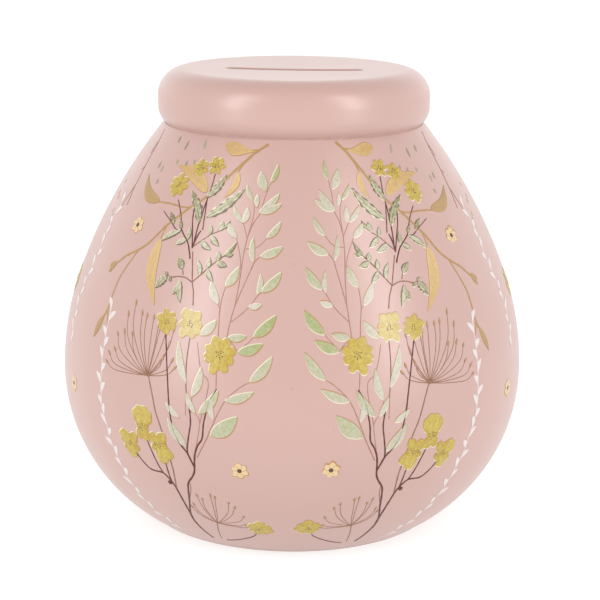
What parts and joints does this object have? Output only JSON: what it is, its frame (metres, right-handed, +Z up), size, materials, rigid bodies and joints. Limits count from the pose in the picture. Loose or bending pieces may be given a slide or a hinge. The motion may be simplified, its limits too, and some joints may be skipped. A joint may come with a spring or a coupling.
{
  "type": "money pot",
  "caption": "Round-bellied glazed ceramic money pot with a roll-edged slotted lid, raised flower sprays and a stopper in its base.",
  "frame": {"origin": "centre of the foot, on the surface that the pot stands on", "axes": "+Z up along the pot's axis, +X along the coin slot; the flower sprays' first mirror plane faces -Y, turned 3 degrees towards +X"},
  "size_m": [0.15, 0.15, 0.1465],
  "materials": {
    "body_glaze": "satin pink glaze",
    "lid_glaze": "satin pink glaze",
    "cement": "matt",
    "stopper_rubber": "soft matt, translucent white",
    "yellow_enamel": "raised satin enamel",
    "cream_enamel": "raised satin enamel",
    "sage_enamel": "raised satin enamel",
    "gold_enamel": "raised satin gold-brown enamel",
    "line_enamel": "fine printed brown line",
    "white_enamel": "fine printed white line"
  },
  "bodies": {
    "pot": {"pot_body": "body_glaze", "lid": "lid_glaze", "lid_cement": "cement", "yellow_blossoms": "yellow_enamel", "cream_blossoms": "cream_enamel", "sage_leaves": "sage_enamel", "gold_leaves": "gold_enamel"},
    "stopper": {"base_stopper": "stopper_rubber"}
  },
  "joints": [
    {"name": "stopper_pull", "type": "slide", "parent": "pot", "child": "stopper", "axis": [0, 0, -1], "range_m": [0, 0.02]}
  ]
}
